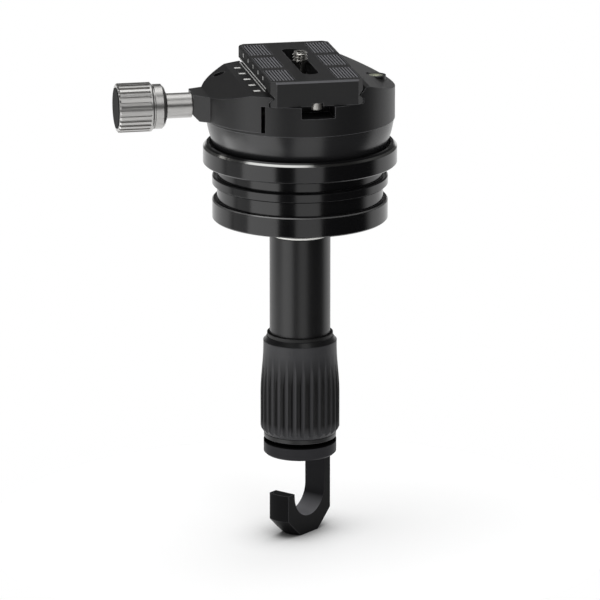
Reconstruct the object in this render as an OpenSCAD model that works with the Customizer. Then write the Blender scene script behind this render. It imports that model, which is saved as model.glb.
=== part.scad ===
// Leveling head: a clamp for camera plates on a half ball, which tilts in a base
// that drops into a tripod's apex. A twist grip under the base locks the ball, and
// a hook at the lower end takes a weight. Millimetres, +Z up. The origin is the
// centre of the base flange's underside, where the head sits on the tripod.

/* [Base] */
// Radius of the spigot that drops into the tripod's apex
spigot_r = 36.8; // [36:0.1:42]
// Depth of the two grooves round the spigot
groove_d = 2; // [1:0.1:2.6]
// How far the seat flange stands out past the spigot
shoulder_w = 3.8; // [3:0.1:8]
// Height of the seat flange above the tripod's apex
seat_flange_h = 8.5; // [5.5:0.1:9]
// Height of the groove under the seat flange
upper_groove_h = 5.1; // [3:0.1:8]
// Height of the middle ring
mid_ring_h = 4.1; // [2:0.1:6]
// Height of the groove between the two rings
lower_groove_h = 6.2; // [4:0.1:9]
// Height of the lower ring
low_ring_h = 8.5; // [4:0.1:10]
// Bright chamfer on the flange's upper edge
rim_chamfer = 1.5; // [0.4:0.1:1.7]
// Chamfer on the edges of the rings
ring_chamfer = 0.5; // [0.2:0.1:0.9]
// Wall between the flange's side and the open groove round the ball
rim_wall = 2.6; // [1.8:0.1:3]
// Depth of the open groove round the ball
rim_groove_d = 3.2; // [1.5:0.1:4.5]
// Wall between the ball's seat and the corner of the upper groove
neck_wall = 1.6; // [1.2:0.1:3]
// Wall of the skirt round the space where the stem swings
skirt_wall = 1.6; // [1:0.1:2.5]

/* [Half ball] */
// Height of the ball's centre above the tripod's apex
ball_centre_z = 23.7; // [23.4:0.1:26]
// How far the ball's flat top lies below its centre
ball_top_drop = 4.3; // [1:0.1:4.6]
// Tilt each way about X and about Y
tilt_max = 10; // [5:0.5:10.5]
// Thickness of the liner that the ball turns on
liner_t = 0.76; // [0.5:0.02:0.9]
// Thickness of the base's bowl under the ball
bowl_t = 3.5; // [2.5:0.1:4.5]
// Gap between two spherical faces that slide on each other
slide_gap = 0.12; // [0.08:0.01:0.2]

/* [Clamp] */
// How far the clamp's round body stands out past the ball under it
clamp_overhang = 0.1; // [-1:0.1:2]
// Thickness of the body's flange, which runs on under the jaw
clamp_flange_t = 1.2; // [1:0.1:2]
// Height of the clamp's floor above its underside
clamp_floor_h = 12.4; // [12:0.1:15]
// Width of the slit between the body and the jaw
slit_w = 1.7; // [1.6:0.1:3]
// Height of the moving jaw above the top of the plate's lip
jaw_over_lip = 2.2; // [1.8:0.1:2.6]
// Width of the flat strip along the top of the moving jaw
jaw_flat_w = 7.6; // [4:0.1:9]
// How much higher the fixed jaw stands than the moving one
fixed_jaw_rise = 2.1; // [0:0.1:2.6]
// Width of the flat strip along the top of the fixed jaw
fixed_flat_w = 1.9; // [0.5:0.1:4]
// Slope of the jaws' roofs
roof_slope = 19.5; // [12:0.5:24]
// How far the jaw opens
jaw_travel = 3.5; // [1:0.1:5]
// Width of the notches for the plate's stop screws
notch_w = 14; // [8:0.1:18]
// Depth of those notches below the floor
notch_d = 4.7; // [4:0.1:6]
// Width of the jaw's boss at its end
boss_end_w = 12; // [11:0.1:15]
// Width of the boss where it leaves the round jaw
boss_root_w = 21; // [18:0.1:26]
// Radius of the jaw's guide pins
guide_r = 2.5; // [1.5:0.1:3]
// Distance between the jaw's guide pins
guide_pitch = 38; // [34:0.5:40]
// Radius of the round level's cup
level_r = 4.3; // [3:0.1:5]

/* [Knob] */
// Radius of the knob's fluted body
knob_r = 10.3; // [9.6:0.1:12]
// Length of the fluted body
knob_len = 14.6; // [10:0.1:22]
// Radius of the knob's smooth collar
knob_collar_r = 9.35; // [8:0.05:9.5]
// Length of the collar
knob_collar_len = 4.5; // [3:0.1:7]
// Number of flutes round the knob
knob_flutes = 26; // [16:1:30]
// Radius of the shaft between the boss and the knob
knob_shaft_r = 5.25; // [4.5:0.05:5.3]
// Length of that shaft
knob_shaft_len = 10.7; // [6:0.1:14]
// Radius of the clamp's spindle
spindle_r = 3; // [2:0.1:3.5]

/* [Plate] */
// Width of the quick-release plate
plate_w = 39; // [38:0.1:40]
// Length of the plate
plate_l = 75; // [62:0.5:78]
// Thickness of the plate
plate_t = 10.7; // [9:0.1:12]
// Height of the straight lip under the plate's V grooves
lip_h = 1.8; // [1.4:0.1:2.4]
// Depth of the V grooves along the plate's sides
vee_d = 2; // [1.8:0.1:2.4]
// Chamfer on the plate's upright corners
plate_corner = 2.5; // [1:0.1:5]
// Width of the slot for the camera screw
slot_w = 7; // [6.8:0.1:8]
// Length of that slot
slot_l = 50; // [30:0.5:54]
// Depth of the pocket under the plate for the screw's head
pocket_d = 5; // [4.8:0.1:6]
// Pitch of the grip lines milled in the plate's top
grip_line_pitch = 1.3; // [1:0.1:2]
// Depth of those lines
grip_line_d = 0.5; // [0.2:0.1:0.8]
// Radius of the camera screw's stud
stud_r = 3.175; // [2.5:0.005:3.3]
// Height of the stud above the plate
stud_h = 4.2; // [3:0.1:7]
// Radius of the stop screws' heads
stop_head_r = 2.15; // [1.6:0.05:2.8]

/* [Stem and grip] */
// Radius of the tension rod
rod_r = 5; // [4:0.1:5.5]
// Radius of the stem tube
stem_r = 12.8; // [11.5:0.1:13]
// Wall of the stem tube
stem_wall = 2.7; // [1.5:0.1:3.5]
// Bare length of the stem above the grip
stem_bare = 43.5; // [25:0.1:60]
// Length of the stem inside the grip
stem_held = 18.5; // [10:0.1:26]
// Radius of the grip at its upper end
grip_top_r = 15.5; // [15.2:0.05:15.6]
// Radius of the grip at its widest
grip_r = 16.7; // [16.4:0.1:18]
// Length of the grip's sleeve
grip_len = 40.2; // [34:0.1:50]
// Number of flutes round the grip
grip_flutes = 28; // [18:1:28]
// Radius of the rounded cutter that shapes a flute
flute_tool_r = 1.6; // [1.2:0.1:1.6]
// Radius of the circle that touches the flutes' bottoms
flute_floor_r = 15.7; // [15.65:0.05:15.9]
// Turn of the grip from locked to loose
lock_turn = 120; // [30:5:150]
// Pitch of the thread on the tension rod
rod_pitch = 1.75; // [1:0.05:2]

/* [Hook] */
// Radius of the bar that the hook is cut from
hook_r = 15.4; // [15:0.1:17]
// Height of the hook's round collar
hook_collar_h = 5.9; // [4:0.1:8]
// Length of the hook below its collar
hook_drop = 35; // [32:0.1:45]
// Width of the hook's strap
hook_w = 10.1; // [6:0.1:14]
// Inner radius of the hook's bend
hook_bend_r = 10.3; // [8:0.1:11]
// Height of the opening between the collar and the tip
hook_gap = 15.7; // [10:0.1:18]
// Height of the bevel round the hook's lower end
hook_bevel_h = 7.8; // [3:0.1:9]
// Turn of the hook about the rod
hook_turn = 41.5; // [0:0.5:90]

/* [Hidden] */
$fn = 96;

// Clearances and allowances
running_gap = 0.08;
seated_gap = 0.02;
face_gap = 0.2;
cut = 1;

// Base and ball
seat_flange_r = spigot_r + shoulder_w;
neck_r = spigot_r - groove_d;
ball_r = norm([neck_r, ball_centre_z]) - neck_wall - liner_t - 2 * slide_gap;
clamp_r = ball_r + clamp_overhang;
mid_ring_z = -upper_groove_h;
low_ring_z = mid_ring_z - mid_ring_h - lower_groove_h;
base_z = low_ring_z - low_ring_h;
skirt_r = neck_r - skirt_wall;
seat_r = ball_r + liner_t + 2 * slide_gap;
bowl_r = seat_r + bowl_t;
full_tilt = acos(cos(tilt_max) * cos(tilt_max));
rod_swing_gap = 1.1;
bowl_hole_r = bowl_r * sin(full_tilt) + rod_r + rod_swing_gap;
liner_low = 26;
liner_high = 60;
ball_flat_angle = 18;
ball_flat_z = ball_centre_z - ball_r * cos(ball_flat_angle);

// Lock under the bowl
washer_t = 0.9;
washer_r = bowl_r + slide_gap;
cup_face_r = washer_r + washer_t + slide_gap;
cup_t = 4;
cup_back_r = cup_face_r + cup_t;
cup_lap = 3.7;
cup_r = bowl_hole_r + cup_lap;
washer_lap = 1.5;
washer_swing_gap = 0.3;
washer_hole_r = cup_face_r * sin(tilt_max) + rod_r + washer_swing_gap;
cup_neck_in = 1.2;
cup_neck_r = stem_r - cup_neck_in;
cup_neck_h = 4.8;
cup_spigot_h = 8;
stem_z = ball_centre_z - cup_back_r - cup_neck_h;
stem_edge = 1;
lock_drop = rod_pitch * lock_turn / 360;

// Rod's upper end
ball_top_z = ball_centre_z - ball_top_drop;
nut_depth = 19;
nut_seat_z = ball_top_z - nut_depth;
rod_washer_t = 2;
rod_washer_w = 5;
rod_washer_r = rod_r + rod_washer_w;
nut_h = 8;
nut_wall = 3.5;
nut_across = 2 * (rod_r + nut_wall);
nut_well_gap = 2;
nut_well_r = rod_washer_r + nut_well_gap;
rod_tip = 2;

// Clamp
clamp_z = ball_top_z;
ledge_z = clamp_z + clamp_flange_t;
floor_z = clamp_z + clamp_floor_h;
plate_z = floor_z + face_gap;
lip_z = plate_z + lip_h;
vee_z = lip_z + vee_d;
plate_top_z = plate_z + plate_t;
plate_edge = 0.5;
half_w = plate_w / 2;
jaw_pocket_x = half_w + 2 * face_gap;
nose_gap = 0.75;
nose_x = half_w - vee_d + nose_gap;
nose_z = lip_z + half_w + face_gap - nose_x;
jaw_top_z = lip_z + jaw_over_lip;
fixed_top_z = jaw_top_z + fixed_jaw_rise;
function ridge_x(top_z) = nose_x + top_z - nose_z;
roof_x = ridge_x(jaw_top_z) + jaw_flat_w;
fixed_roof_x = ridge_x(fixed_top_z) + fixed_flat_w;
slit_inset = 1.25;
slit_x = jaw_pocket_x + slit_inset;
jaw_x = slit_x + slit_w;
function roof_z(x) = jaw_top_z - (x - roof_x) * tan(roof_slope);
function fixed_roof_z(x) = fixed_top_z - (x - fixed_roof_x) * tan(roof_slope);

// Spindle, knob and jaw boss
spindle_h = 6.8;
spindle_z = clamp_z + spindle_h;
boss_rim = 0.3;
boss_half_h = knob_shaft_r + boss_rim;
boss_l = 4.8;
boss_x = clamp_r + slit_w + boss_l;
boss_root_x = clamp_r + boss_rim;
boss_bevel = 2.2;
insert_wall = 1.6;
insert_r = spindle_r + insert_wall;
insert_l = 12;
spindle_tip_x = slit_x - insert_l - cut;
guide_hold = 10.5;
guide_wall = 1.1;
guide_far_x = slit_w + sqrt(pow(clamp_r, 2) - pow(guide_pitch / 2 + guide_r, 2)) - guide_wall;
set_screw_r = 2.4;
set_screw_h = 3;
set_screw_back = 3;
set_screw_x = guide_far_x - set_screw_back;
shaft_x = boss_x + face_gap;
knob_washer_t = 0.7;
knob_washer_rim = 0.9;
knob_washer_r = knob_shaft_r + knob_washer_rim;
knob_x = shaft_x + knob_shaft_len + knob_washer_t;
knob_step = 0.7;
knob_body_x = knob_x + knob_collar_len + knob_step;
knob_end_x = knob_body_x + knob_len;
knob_flute_w = 1.2;
knob_flute_d = 0.7;
knob_flute_margin = 1.8;
knob_cap_t = 1.4;
knob_cap_rim = 1.8;
knob_cap_r = knob_r - knob_cap_rim;
knob_cap_rise = 0.3;
clip_t = 0.9;
clip_w = 1.5;

// Screws that hold the clamp to the ball
clamp_screw_x = 12;
clamp_screw_y = 10.5;
clamp_screw_r = 2.5;
clamp_screw_grip = 9;
clamp_head_r = 4.25;
clamp_head_h = 4.5;

// Level
level_inset = 7.2;
level_x = clamp_r - level_inset;
level_y = 1;
level_wall = 1.2;
level_h = 4.5;
level_rise = 0.6;
level_top_z = fixed_roof_z(level_x) + level_rise;

// Plate
stop_inset = 3;
stop_y = plate_l / 2 - stop_inset;
stop_shank_r = 1.5;
stop_head_h = 3;
stop_recess_h = 1.2;
stop_travel = 5;
notch_y = stop_y - stop_head_r - stop_travel;
head_r = 6.2;
head_h = 3;
head_side_gap = 0.5;
pocket_w = 2 * (head_r + head_side_gap);
retainer_t = 1;
grip_line_w = 0.65;
grip_line_rows = 3;
grip_line_gap = 5;
grip_line_margin = 3.5;
grip_lines_l = plate_l - 2 * grip_line_margin;
grip_line_l = (grip_lines_l - (grip_line_rows - 1) * grip_line_gap) / grip_line_rows;
grip_line_inset = 5.4;
grip_line_x = slot_w / 2 + grip_line_inset;
grip_line_room = half_w - plate_edge - grip_line_w - grip_line_x;
grip_lines = floor(grip_line_room / grip_line_pitch) + 1;
socket_r = 1.7;
socket_d = 2;
thread_d = 0.6;
screw_neck_r = stud_r - thread_d;

// Grip and hook
lip_ring_h = 1.6;
lip_ring_w = 1.1;
lip_ring_r = stem_r + lip_ring_w;
grip_z = stem_z - stem_bare - lip_ring_h;
shoulder_h = 1.8;
sleeve_z = grip_z - shoulder_h;
sleeve_end_z = sleeve_z - grip_len;
sleeve_t = 1.3;
core_r = grip_top_r - sleeve_t;
stem_end_z = grip_z - stem_held;
thrust_t = 1.5;
thread_z = stem_end_z - thrust_t - face_gap;
swell_from = 2.5;
swell_to = 23;
swell_steps = 6;
flute_sides = 12;
heel_h = 2.2;
heel_in = 1.4;
heel_r = grip_r - heel_in;
heel_step = 0.3;
tail_h = 1.9;
grip_end_z = sleeve_end_z - tail_h;
seal_free = 0.15;
seal_gap = lock_drop + seal_free;
seal_t = 0.8;
seal_inset = 1.4;
seal_r = hook_r - seal_inset;
hook_z = grip_end_z - seal_gap - seal_t;
hook_collar_z = hook_z - hook_collar_h;
hook_end_z = hook_collar_z - hook_drop;
hook_edge = 0.8;
hook_foot = 2.8;
hook_bend_z = hook_end_z + hook_r + hook_foot;
hook_tip_z = hook_collar_z - hook_gap;
rod_end_wall = 0.8;
rod_end_z = hook_collar_z + rod_end_wall;
pin_end_wall = 0.5;
pin_r = 1;

black_metal = "#1b1b1d";
satin_black = "#2a2a2d";
steel = "#c9c8c2";
brass = "#b08d4a";
black_rubber = "#161616";
grey_polymer = "#3a3a3a";

// A ring or disc about the Z axis between two heights
module ring(r_out, r_in, z_low, z_high) {
    translate([0, 0, z_low])
        difference() {
            cylinder(r = r_out, h = z_high - z_low);
            if (r_in > 0)
                translate([0, 0, -cut]) cylinder(r = r_in, h = z_high - z_low + 2 * cut);
        }
}

// A ball about the tilt centre
module ball(r) {
    translate([0, 0, ball_centre_z]) sphere(r = r);
}

// A round bar along X at the spindle's height, between two distances towards the knob
module bar_x(r, x_near, x_far, y = 0) {
    translate([-x_far, y, spindle_z]) rotate([0, 90, 0]) cylinder(r = r, h = x_far - x_near);
}

// Turns children, drawn about Z from the boss outwards, so that they lie along the spindle
module on_spindle() {
    translate([0, 0, spindle_z]) rotate([0, -90, 0]) children();
}

// A prism along Y with an outline in X and Z
module prism_y(length) {
    rotate([90, 0, 0]) translate([0, 0, -length / 2]) linear_extrude(length) children();
}

// A round-ended slot along Y between two heights
module slot_y(width, length, z_low, z_high) {
    straight = length - width;
    translate([0, 0, z_low]) {
        translate([-width / 2, -straight / 2, 0]) cube([width, straight, z_high - z_low]);
        for (side = [-1, 1])
            translate([0, side * straight / 2, 0]) cylinder(d = width, h = z_high - z_low);
    }
}

// Edge points of one turned ring, from its top down
function ring_edge(r, z_top, h, top_c, low_c) = [
    [r - top_c, z_top], [r, z_top - top_c], [r, z_top - h + low_c], [r - low_c, z_top - h]
];

// Turned base with its flange, two rings, bowl and swing space
module base_ring() {
    outline = concat(
        [[0, seat_flange_h]],
        ring_edge(seat_flange_r, seat_flange_h, seat_flange_h, rim_chamfer, ring_chamfer),
        [[neck_r, 0], [neck_r, mid_ring_z]],
        ring_edge(spigot_r, mid_ring_z, mid_ring_h, ring_chamfer, ring_chamfer),
        [[neck_r, mid_ring_z - mid_ring_h], [neck_r, low_ring_z]],
        ring_edge(spigot_r, low_ring_z, low_ring_h, ring_chamfer, ring_chamfer),
        [[0, base_z]]
    );
    color(black_metal) difference() {
        rotate_extrude() polygon(outline);
        ball(seat_r);
        ring(seat_flange_r - rim_wall, 0, seat_flange_h - rim_groove_d, seat_flange_h + cut);
        difference() {
            ring(skirt_r, 0, base_z - cut, ball_centre_z);
            ball(bowl_r);
        }
        ring(bowl_hole_r, 0, base_z - cut, ball_centre_z);
    }
}

// Liner between the ball and the base's bowl
module seat_liner() {
    liner_r = ball_r + slide_gap;
    color(grey_polymer) difference() {
        ball(liner_r + liner_t);
        ball(liner_r);
        ring(2 * ball_r, 0, ball_centre_z - liner_r * cos(liner_high), ball_centre_z + 2 * ball_r);
        ring(liner_r * sin(liner_low), 0, ball_centre_z - 2 * ball_r, ball_centre_z);
    }
}

// Loose washer between the bowl's underside and the pressure cup
module friction_washer() {
    color(grey_polymer) intersection() {
        difference() {
            ball(washer_r + washer_t);
            ball(washer_r);
        }
        ring(cup_r + washer_lap, washer_hole_r, base_z - bowl_r, ball_centre_z - bowl_r / 2);
    }
}

// Half ball that carries the clamp and the rod
module half_ball() {
    color(satin_black) difference() {
        intersection() {
            ball(ball_r);
            ring(ball_r + cut, 0, ball_flat_z, ball_top_z);
        }
        ring(nut_well_r, 0, nut_seat_z, ball_top_z + cut);
        ring(rod_r + seated_gap, 0, ball_flat_z - cut, ball_top_z);
        clamp_screw_places()
            ring(clamp_screw_r + seated_gap, 0, ball_top_z - clamp_screw_grip - cut, ball_top_z + cut);
    }
}

// Washer under the rod's nut
module rod_washer() {
    color(steel) ring(rod_washer_r, rod_r + seated_gap, nut_seat_z, nut_seat_z + rod_washer_t);
}

// Nut on the rod's upper end, inside the ball
module rod_nut() {
    nut_z = nut_seat_z + rod_washer_t;
    color(steel) difference() {
        translate([0, 0, nut_z]) cylinder(d = nut_across / cos(30), h = nut_h, $fn = 6);
        ring(rod_r + seated_gap, 0, nut_z - cut, nut_z + nut_h + cut);
    }
}

// Rod that draws the ball down, from the nut to the hook
module tension_rod() {
    top_z = nut_seat_z + rod_washer_t + nut_h + rod_tip;
    color(steel) difference() {
        ring(rod_r, 0, rod_end_z, top_z);
        hook_pin_place(seated_gap);
    }
}

// Rubber ring between the grip and the hook
module seal_ring() {
    color(black_rubber) ring(seal_r, rod_r + seated_gap, hook_z, hook_z + seal_t);
}

// Where the hook's cross pin sits, at the middle of the collar
module hook_pin_place(gap) {
    pin_z = hook_z - hook_collar_h / 2;
    rotate([0, 0, hook_turn])
        translate([0, -rod_r - cut, pin_z]) rotate([-90, 0, 0])
            cylinder(r = pin_r + gap, h = hook_r + rod_r + cut - pin_end_wall);
}

// Weight hook, cut from one bar with its collar
module weight_hook() {
    bevel_r = hook_r - hook_bevel_h;
    outline = [
        [0, hook_z], [hook_r, hook_z], [hook_r, hook_end_z + hook_bevel_h],
        [bevel_r, hook_end_z], [0, hook_end_z]
    ];
    reach = 2 * hook_r;
    below = hook_collar_z - hook_end_z + cut;
    color(satin_black) difference() {
        rotate_extrude() polygon(outline);
        rotate([0, 0, hook_turn]) {
            // Flats on both sides of the strap, with a rounded lower edge left on the collar
            for (side = [0, 180])
                rotate([0, 0, side])
                    translate([-reach, hook_w / 2, hook_end_z - cut]) cube([2 * reach, reach, below]);
            // Throat and bend
            translate([-hook_bend_r, -reach, hook_bend_z])
                cube([2 * hook_bend_r, 2 * reach, hook_collar_z - hook_bend_z]);
            translate([0, 0, hook_bend_z]) rotate([90, 0, 0])
                cylinder(r = hook_bend_r, h = 2 * reach, center = true);
            // Way in over the tip
            translate([-reach, -reach, hook_tip_z]) cube([reach, 2 * reach, hook_gap]);
        }
        ring(rod_r + seated_gap, 0, rod_end_z - seated_gap, hook_z + cut);
        hook_pin_place(seated_gap);
        // Bevel under the collar's edge, cut short where the strap leaves it
        difference() {
            rotate_extrude() polygon([
                [hook_r - hook_edge, hook_collar_z - cut], [hook_r - hook_edge, hook_collar_z],
                [hook_r, hook_collar_z + hook_edge], [hook_r + cut, hook_collar_z + hook_edge],
                [hook_r + cut, hook_collar_z - cut]
            ]);
            rotate([0, 0, hook_turn])
                translate([0, -hook_w / 2, hook_collar_z - 2 * cut]) cube([reach, hook_w, 4 * cut]);
        }
    }
}

// Cross pin that keeps the hook on the rod
module hook_pin() {
    color(steel) hook_pin_place(0);
}

// Places of the screws that hold the clamp to the ball
module clamp_screw_places() {
    for (x = [-1, 1], y = [-1, 1])
        translate([x * clamp_screw_x, y * clamp_screw_y, 0]) children();
}

// Inner face of a jaw on the positive side, from the floor up to the roof's end
function jaw_face(z_foot, top_z, flat_end_x) = [
    [jaw_pocket_x, z_foot], [jaw_pocket_x, lip_z - face_gap], [nose_x, nose_z],
    [ridge_x(top_z), top_z], [flat_end_x, top_z]
];

// Both notches for the plate's stop screws
module stop_notches() {
    for (side = [-1, 1])
        translate([-notch_w / 2, side > 0 ? notch_y : -notch_y - clamp_r, floor_z - notch_d])
            cube([notch_w, clamp_r, notch_d + cut]);
}

// Round clamp body with its fixed jaw on the side of the level
module clamp_body() {
    far = clamp_r + cut;
    outline = concat(
        [[-far, clamp_z], [-far, ledge_z], [-slit_x, ledge_z], [-slit_x, floor_z]],
        jaw_face(floor_z, fixed_top_z, fixed_roof_x),
        [[far, fixed_roof_z(far)], [far, clamp_z]]
    );
    color(black_metal) difference() {
        intersection() {
            prism_y(2 * far) polygon(outline);
            ring(clamp_r, 0, clamp_z, fixed_top_z + cut);
        }
        stop_notches();
        bar_x(insert_r + seated_gap, slit_x - insert_l, slit_x + cut);
        bar_x(spindle_r + running_gap, spindle_tip_x - cut, slit_x);
        for (side = [-1, 1])
            bar_x(guide_r + running_gap, slit_x - guide_hold - cut, slit_x + cut, side * guide_pitch / 2);
        clamp_screw_places() {
            ring(clamp_head_r + face_gap, 0, floor_z - clamp_head_h - face_gap, floor_z + cut);
            ring(clamp_screw_r + face_gap, 0, clamp_z - cut, floor_z);
        }
        translate([level_x, level_y, 0])
            ring(level_r + seated_gap, 0, level_top_z - level_h, fixed_top_z + cut);
    }
}

// Screws from the clamp's floor into the ball
module clamp_screws() {
    head_z = floor_z - clamp_head_h - face_gap;
    color(steel) clamp_screw_places() difference() {
        union() {
            ring(clamp_screw_r, 0, ball_top_z - clamp_screw_grip, head_z + cut);
            ring(clamp_head_r, 0, head_z, head_z + clamp_head_h);
        }
        translate([0, 0, head_z + clamp_head_h / 2])
            cylinder(r = clamp_screw_r, h = clamp_head_h, $fn = 6);
    }
}

// Threaded brass insert for the spindle
module spindle_insert() {
    color(brass) difference() {
        bar_x(insert_r, slit_x - insert_l, slit_x);
        bar_x(spindle_r + running_gap, slit_x - insert_l - cut, slit_x + cut);
    }
}

// Cup of the round level
module level_cup() {
    color(black_metal) translate([level_x, level_y, 0]) difference() {
        ring(level_r, 0, level_top_z - level_h, level_top_z);
        ring(level_r - level_wall, 0, level_top_z - level_h + level_wall, level_top_z + cut);
    }
}

// Vial of the round level
module level_vial() {
    color("#d9e2c0") translate([level_x, level_y, 0])
        ring(level_r - level_wall - seated_gap, 0,
             level_top_z - level_h + level_wall, level_top_z - face_gap);
}

// Moving jaw with the boss that the spindle passes through
module clamp_jaw() {
    foot_z = ledge_z + face_gap;
    lap_z = floor_z + face_gap;
    far = clamp_r + slit_w + cut;
    outline = concat(
        [[far, foot_z], [jaw_x, foot_z], [jaw_x, lap_z]],
        jaw_face(lap_z, jaw_top_z, roof_x),
        [[far, roof_z(far)]]
    );
    boss_low = spindle_z - boss_half_h;
    boss_high = spindle_z + boss_half_h;
    boss_fall = (roof_z(boss_root_x) - boss_high) / (boss_x - boss_root_x);
    boss_side = [
        [jaw_x + cut, spindle_z], [jaw_x + cut, boss_high + (boss_x - jaw_x - cut) * boss_fall],
        [boss_x, boss_high],
        [boss_x, boss_low + boss_bevel], [boss_x - boss_bevel, boss_low], [boss_root_x, boss_low],
        [boss_root_x, spindle_z]
    ];
    boss_plan = [
        [0, -boss_root_w / 2], [boss_root_x, -boss_root_w / 2], [boss_x, -boss_end_w / 2],
        [boss_x, boss_end_w / 2], [boss_root_x, boss_root_w / 2], [0, boss_root_w / 2]
    ];
    color(black_metal) difference() {
        union() {
            mirror([1, 0, 0]) intersection() {
                prism_y(2 * far) polygon(outline);
                translate([slit_w, 0, 0]) ring(clamp_r, 0, foot_z, jaw_top_z);
            }
            mirror([1, 0, 0]) intersection() {
                prism_y(boss_root_w) polygon(boss_side);
                translate([0, 0, foot_z - cut]) linear_extrude(jaw_top_z - foot_z) polygon(boss_plan);
            }
        }
        bar_x(spindle_r + running_gap, slit_x, boss_x + cut);
        for (side = [-1, 1])
            bar_x(guide_r + seated_gap, slit_x, guide_far_x, side * guide_pitch / 2);
        translate([-set_screw_x, guide_pitch / 2, 0])
            ring(set_screw_r + seated_gap, 0, spindle_z, jaw_top_z + cut);
    }
}

// Pins fixed in the jaw that slide in the clamp body
module jaw_guide_pins() {
    color(steel) for (side = [-1, 1])
        bar_x(guide_r, slit_x - guide_hold + jaw_travel / 2, guide_far_x, side * guide_pitch / 2);
}

// Set screw in the jaw's roof that holds one guide pin
module jaw_set_screw() {
    low_z = spindle_z + guide_r + seated_gap;
    color(satin_black) translate([-set_screw_x, guide_pitch / 2, 0]) difference() {
        ring(set_screw_r, 0, low_z, low_z + set_screw_h);
        translate([0, 0, low_z + set_screw_h / 2]) cylinder(r = set_screw_r / 2, h = set_screw_h, $fn = 6);
    }
}

// Smooth shaft between the boss and the knob
module knob_shaft() {
    color(steel) on_spindle() ring(knob_shaft_r, spindle_r + seated_gap, shaft_x, shaft_x + knob_shaft_len);
}

// Dark washer between the shaft and the knob
module knob_washer() {
    color(black_rubber) on_spindle()
        ring(knob_washer_r, spindle_r + seated_gap, shaft_x + knob_shaft_len, knob_x);
}

// Fluted knob with a smooth collar
module clamp_knob() {
    edge = 0.6;
    collar_edge = 1.2;
    outline = [
        [0, knob_x], [knob_collar_r - collar_edge, knob_x], [knob_collar_r, knob_x + collar_edge],
        [knob_collar_r, knob_x + knob_collar_len], [knob_collar_r - knob_step, knob_x + knob_collar_len],
        [knob_collar_r - knob_step, knob_body_x], [knob_r - edge, knob_body_x],
        [knob_r, knob_body_x + edge], [knob_r, knob_end_x - edge], [knob_r - edge, knob_end_x],
        [0, knob_end_x]
    ];
    flute_x = knob_body_x + knob_flute_margin;
    color(steel) on_spindle() difference() {
        rotate_extrude() polygon(outline);
        ring(spindle_r + seated_gap, 0, knob_x - cut, knob_end_x + cut);
        ring(knob_cap_r + seated_gap, 0, knob_end_x - knob_cap_t, knob_end_x + cut);
        for (i = [0 : knob_flutes - 1])
            rotate([0, 0, i * 360 / knob_flutes]) {
                translate([knob_r - knob_flute_d, -knob_flute_w / 2, flute_x])
                    cube([cut, knob_flute_w, knob_len]);
                translate([knob_r - knob_flute_d, 0, flute_x]) rotate([0, 90, 0])
                    cylinder(d = knob_flute_w, h = cut);
            }
    }
}

// Dark disc in the knob's outer end
module knob_end_cap() {
    color(black_rubber) on_spindle() ring(knob_cap_r, 0, knob_end_x - knob_cap_t, knob_end_x + knob_cap_rise);
}

// Spindle that draws the jaw in
module clamp_spindle() {
    color(steel) bar_x(spindle_r, spindle_tip_x, knob_end_x - knob_cap_t);
}

// Clip on the spindle that pulls the jaw open
module spindle_clip() {
    middle = slit_x + slit_w / 2;
    color(steel) difference() {
        bar_x(spindle_r + clip_w, middle - clip_t / 2, middle + clip_t / 2);
        bar_x(spindle_r + seated_gap, middle - clip_t, middle + clip_t);
    }
}

// Points down one side of the plate's section
function plate_side() = [
    [half_w - plate_edge, plate_top_z], [half_w, plate_top_z - plate_edge], [half_w, vee_z + vee_d],
    [half_w - vee_d, vee_z], [half_w, lip_z], [half_w, plate_z + plate_edge],
    [half_w - plate_edge, plate_z]
];

// Lines milled in the plate's top, in two columns
module grip_line_cuts() {
    row_pitch = grip_line_l + grip_line_gap;
    for (side = [-1, 1], row = [0 : grip_line_rows - 1], i = [0 : grip_lines - 1]) {
        x = side * (grip_line_x + i * grip_line_pitch);
        y = (row - (grip_line_rows - 1) / 2) * row_pitch - grip_line_l / 2;
        translate([x - grip_line_w / 2, y, plate_top_z - grip_line_d])
            cube([grip_line_w, grip_line_l, grip_line_d + cut]);
    }
}

// Recess for a stop screw's head, open at the plate's end
module stop_recess(side) {
    recess_r = stop_head_r + face_gap;
    ring(recess_r, 0, plate_z - cut, plate_z + stop_recess_h);
    translate([-recess_r, side > 0 ? 0 : -stop_inset - cut, plate_z - cut])
        cube([2 * recess_r, stop_inset + cut, stop_recess_h + cut]);
}

// Plate that the camera is screwed to
module quick_release_plate() {
    side = plate_side();
    far_side = [for (i = [len(side) - 1 : -1 : 0]) [-side[i][0], side[i][1]]];
    end_y = plate_l / 2;
    plan = [for (corner = [[1, 1], [-1, 1], [-1, -1], [1, -1]], first = [0, 1])
        let (short_x = (corner[0] * corner[1] > 0) == (first == 1))
        let (in_x = short_x ? plate_corner : 0, in_y = plate_corner - in_x)
        [corner[0] * (half_w - in_x), corner[1] * (end_y - in_y)]
    ];
    color(black_metal) difference() {
        intersection() {
            prism_y(plate_l) polygon(concat(side, far_side));
            translate([0, 0, plate_z]) linear_extrude(plate_t) polygon(plan);
        }
        slot_y(slot_w, slot_l, plate_z - cut, plate_top_z + cut);
        slot_y(pocket_w, slot_l + pocket_w - slot_w, plate_z - cut, plate_z + pocket_d);
        grip_line_cuts();
        for (side = [-1, 1])
            translate([0, side * stop_y, 0]) {
                ring(stop_shank_r + seated_gap, 0, plate_z - cut, vee_z);
                stop_recess(side);
            }
    }
}

// Screws under the plate's ends that keep it from sliding out
module plate_stop_screws() {
    head_top_z = plate_z + stop_recess_h;
    color(steel) for (y = [-stop_y, stop_y])
        translate([0, y, 0]) {
            ring(stop_shank_r, 0, head_top_z - cut, vee_z - face_gap);
            ring(stop_head_r, 0, head_top_z - stop_head_h, head_top_z);
        }
}

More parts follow.
